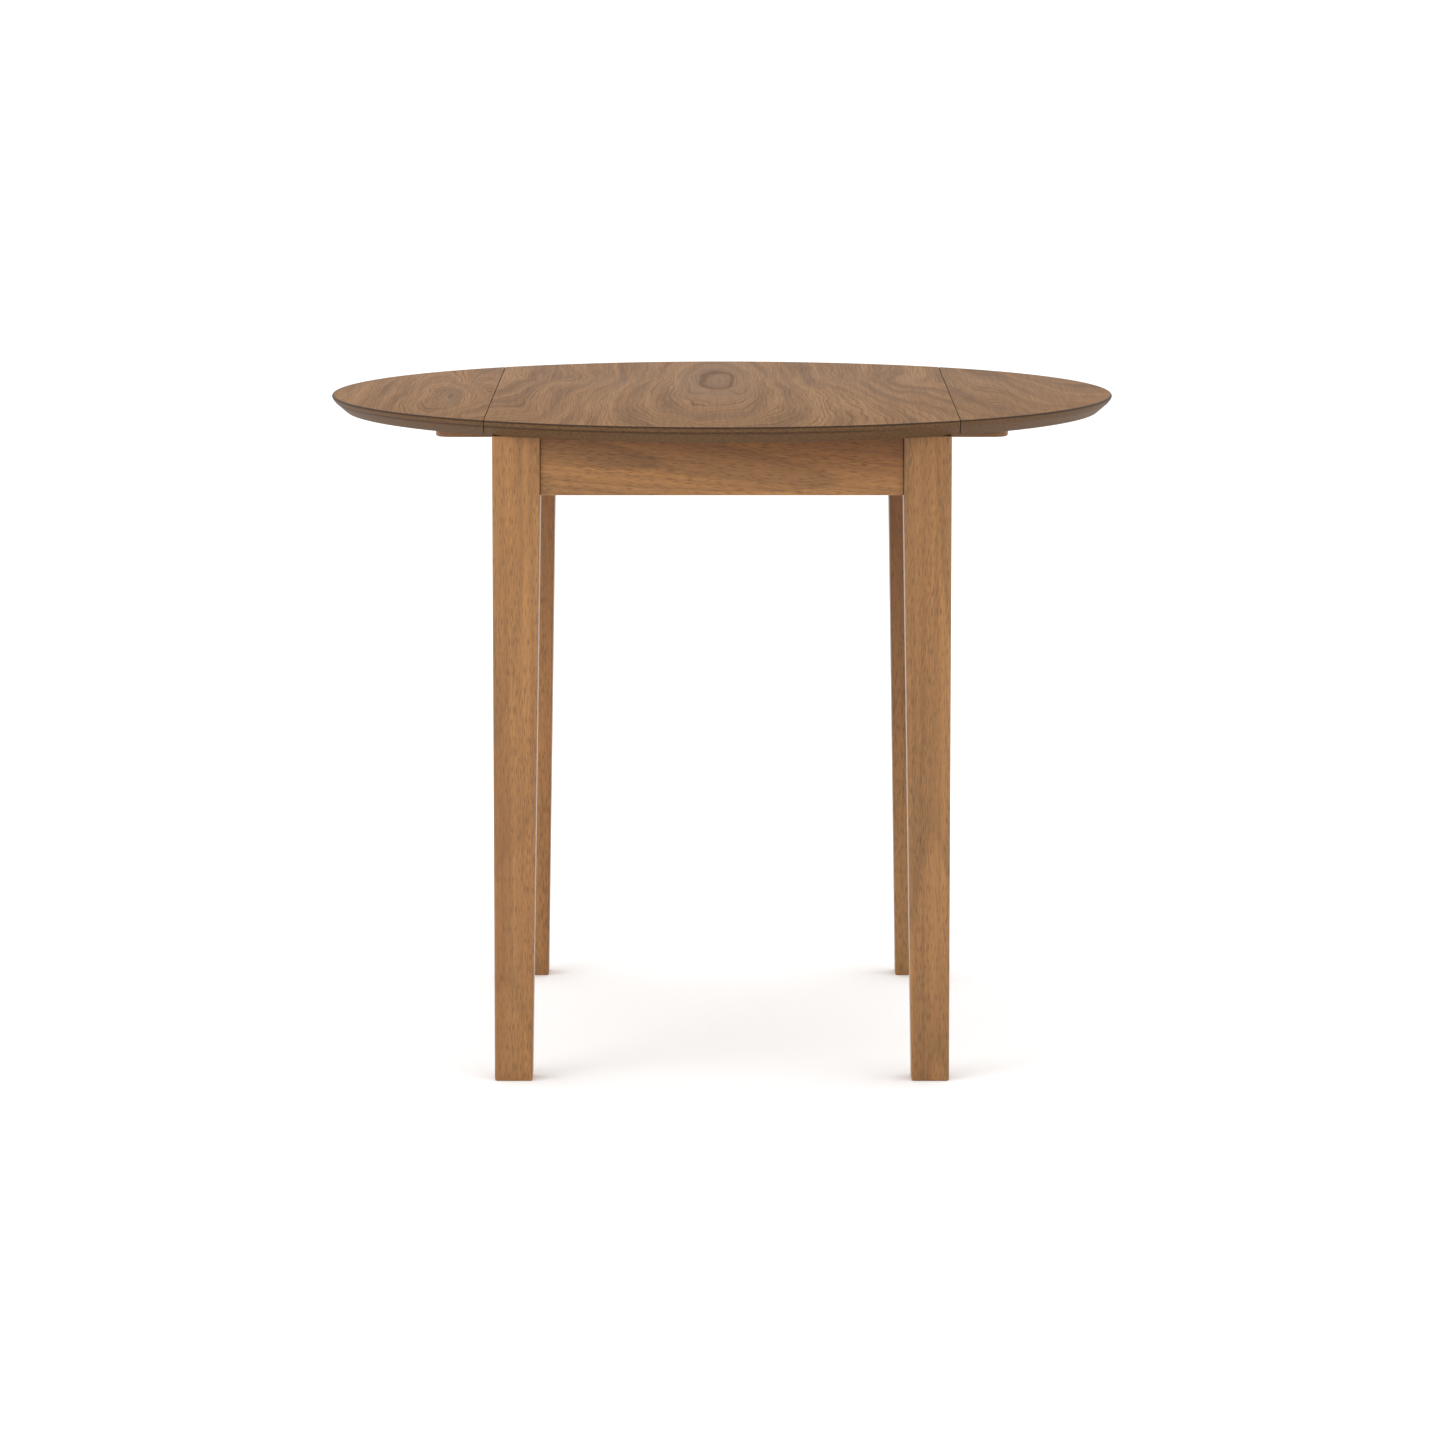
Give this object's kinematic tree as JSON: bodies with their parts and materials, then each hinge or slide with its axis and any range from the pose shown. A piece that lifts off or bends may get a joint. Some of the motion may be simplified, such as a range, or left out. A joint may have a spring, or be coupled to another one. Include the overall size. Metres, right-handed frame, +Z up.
{
  "type": "drop-leaf table",
  "caption": "Round wooden drop-leaf dining table on four tapered legs, with two hinged half-moon leaves held up by a central swivelling support bar.",
  "frame": {"origin": "on the floor, midway between the four feet", "axes": "+Z up; X across the two leaves, with the right leaf at +X; Y along the hinge lines, with the front at -Y"},
  "size_m": [0.9, 0.9, 0.74],
  "materials": {
    "top_veneer": "satin lacquered ash or oak veneer, mid brown",
    "frame_wood": "satin lacquered rubberwood, warm brown",
    "bar_wood": "sanded hardwood, thinly lacquered",
    "steel": "zinc plated",
    "brass": "turned"
  },
  "bodies": {
    "frame": {"centre_panel": "top_veneer", "centre_rail": "frame_wood", "apron_front": "frame_wood", "apron_back": "frame_wood", "apron_left": "frame_wood", "apron_right": "frame_wood", "leg_front_left": "frame_wood", "leg_back_left": "frame_wood", "leg_front_right": "frame_wood", "leg_back_right": "frame_wood", "corner_brace_front_left": "frame_wood", "corner_brace_back_left": "frame_wood", "corner_brace_front_right": "frame_wood", "corner_brace_back_right": "frame_wood", "pivot_bolt": "steel", "pivot_nut": "steel", "pivot_washer_upper": "steel", "pivot_washer_lower": "steel", "hanger_bolt_front_left": "steel", "hanger_bolt_back_left": "steel", "hanger_bolt_front_right": "steel", "hanger_bolt_back_right": "steel", "hanger_nut_front_left": "steel", "hanger_nut_back_left": "steel", "hanger_nut_front_right": "steel", "hanger_nut_back_right": "steel", "top_bracket_front_1": "steel", "top_bracket_front_2": "steel", "top_bracket_back_1": "steel", "top_bracket_back_2": "steel", "hinge_flap_fixed_left_1": "steel", "hinge_flap_fixed_left_2": "steel", "hinge_flap_fixed_right_1": "steel", "hinge_flap_fixed_right_2": "steel", "hinge_pin_left_1": "steel", "hinge_pin_left_2": "steel", "hinge_pin_right_1": "steel", "hinge_pin_right_2": "steel"},
    "support": {"support_bar": "bar_wood", "pivot_bush": "brass"},
    "left_leaf": {"leaf_left": "top_veneer", "leaf_ramp_left": "frame_wood", "hinge_flap_moving_left_1": "steel", "hinge_flap_moving_left_2": "steel"},
    "right_leaf": {"leaf_right": "top_veneer", "leaf_ramp_right": "frame_wood", "hinge_flap_moving_right_1": "steel", "hinge_flap_moving_right_2": "steel"}
  },
  "joints": [
    {"name": "support_swing", "type": "hinge", "parent": "frame", "child": "support", "pos_m": [0, 0, 0.696], "axis": [0, 0, 1], "range_deg": [0, 90]},
    {"name": "left_leaf_drop", "type": "hinge", "parent": "frame", "child": "left_leaf", "pos_m": [-0.2625, 0, 0.7188], "axis": [0, -1, 0], "range_deg": [0, 90]},
    {"name": "right_leaf_drop", "type": "hinge", "parent": "frame", "child": "right_leaf", "pos_m": [0.2625, 0, 0.7188], "axis": [0, 1, 0], "range_deg": [0, 90]}
  ],
  "couplings": [
    {"joint": "left_leaf_drop", "follows": "support_swing", "ratio": 1},
    {"joint": "right_leaf_drop", "follows": "support_swing", "ratio": 1}
  ]
}
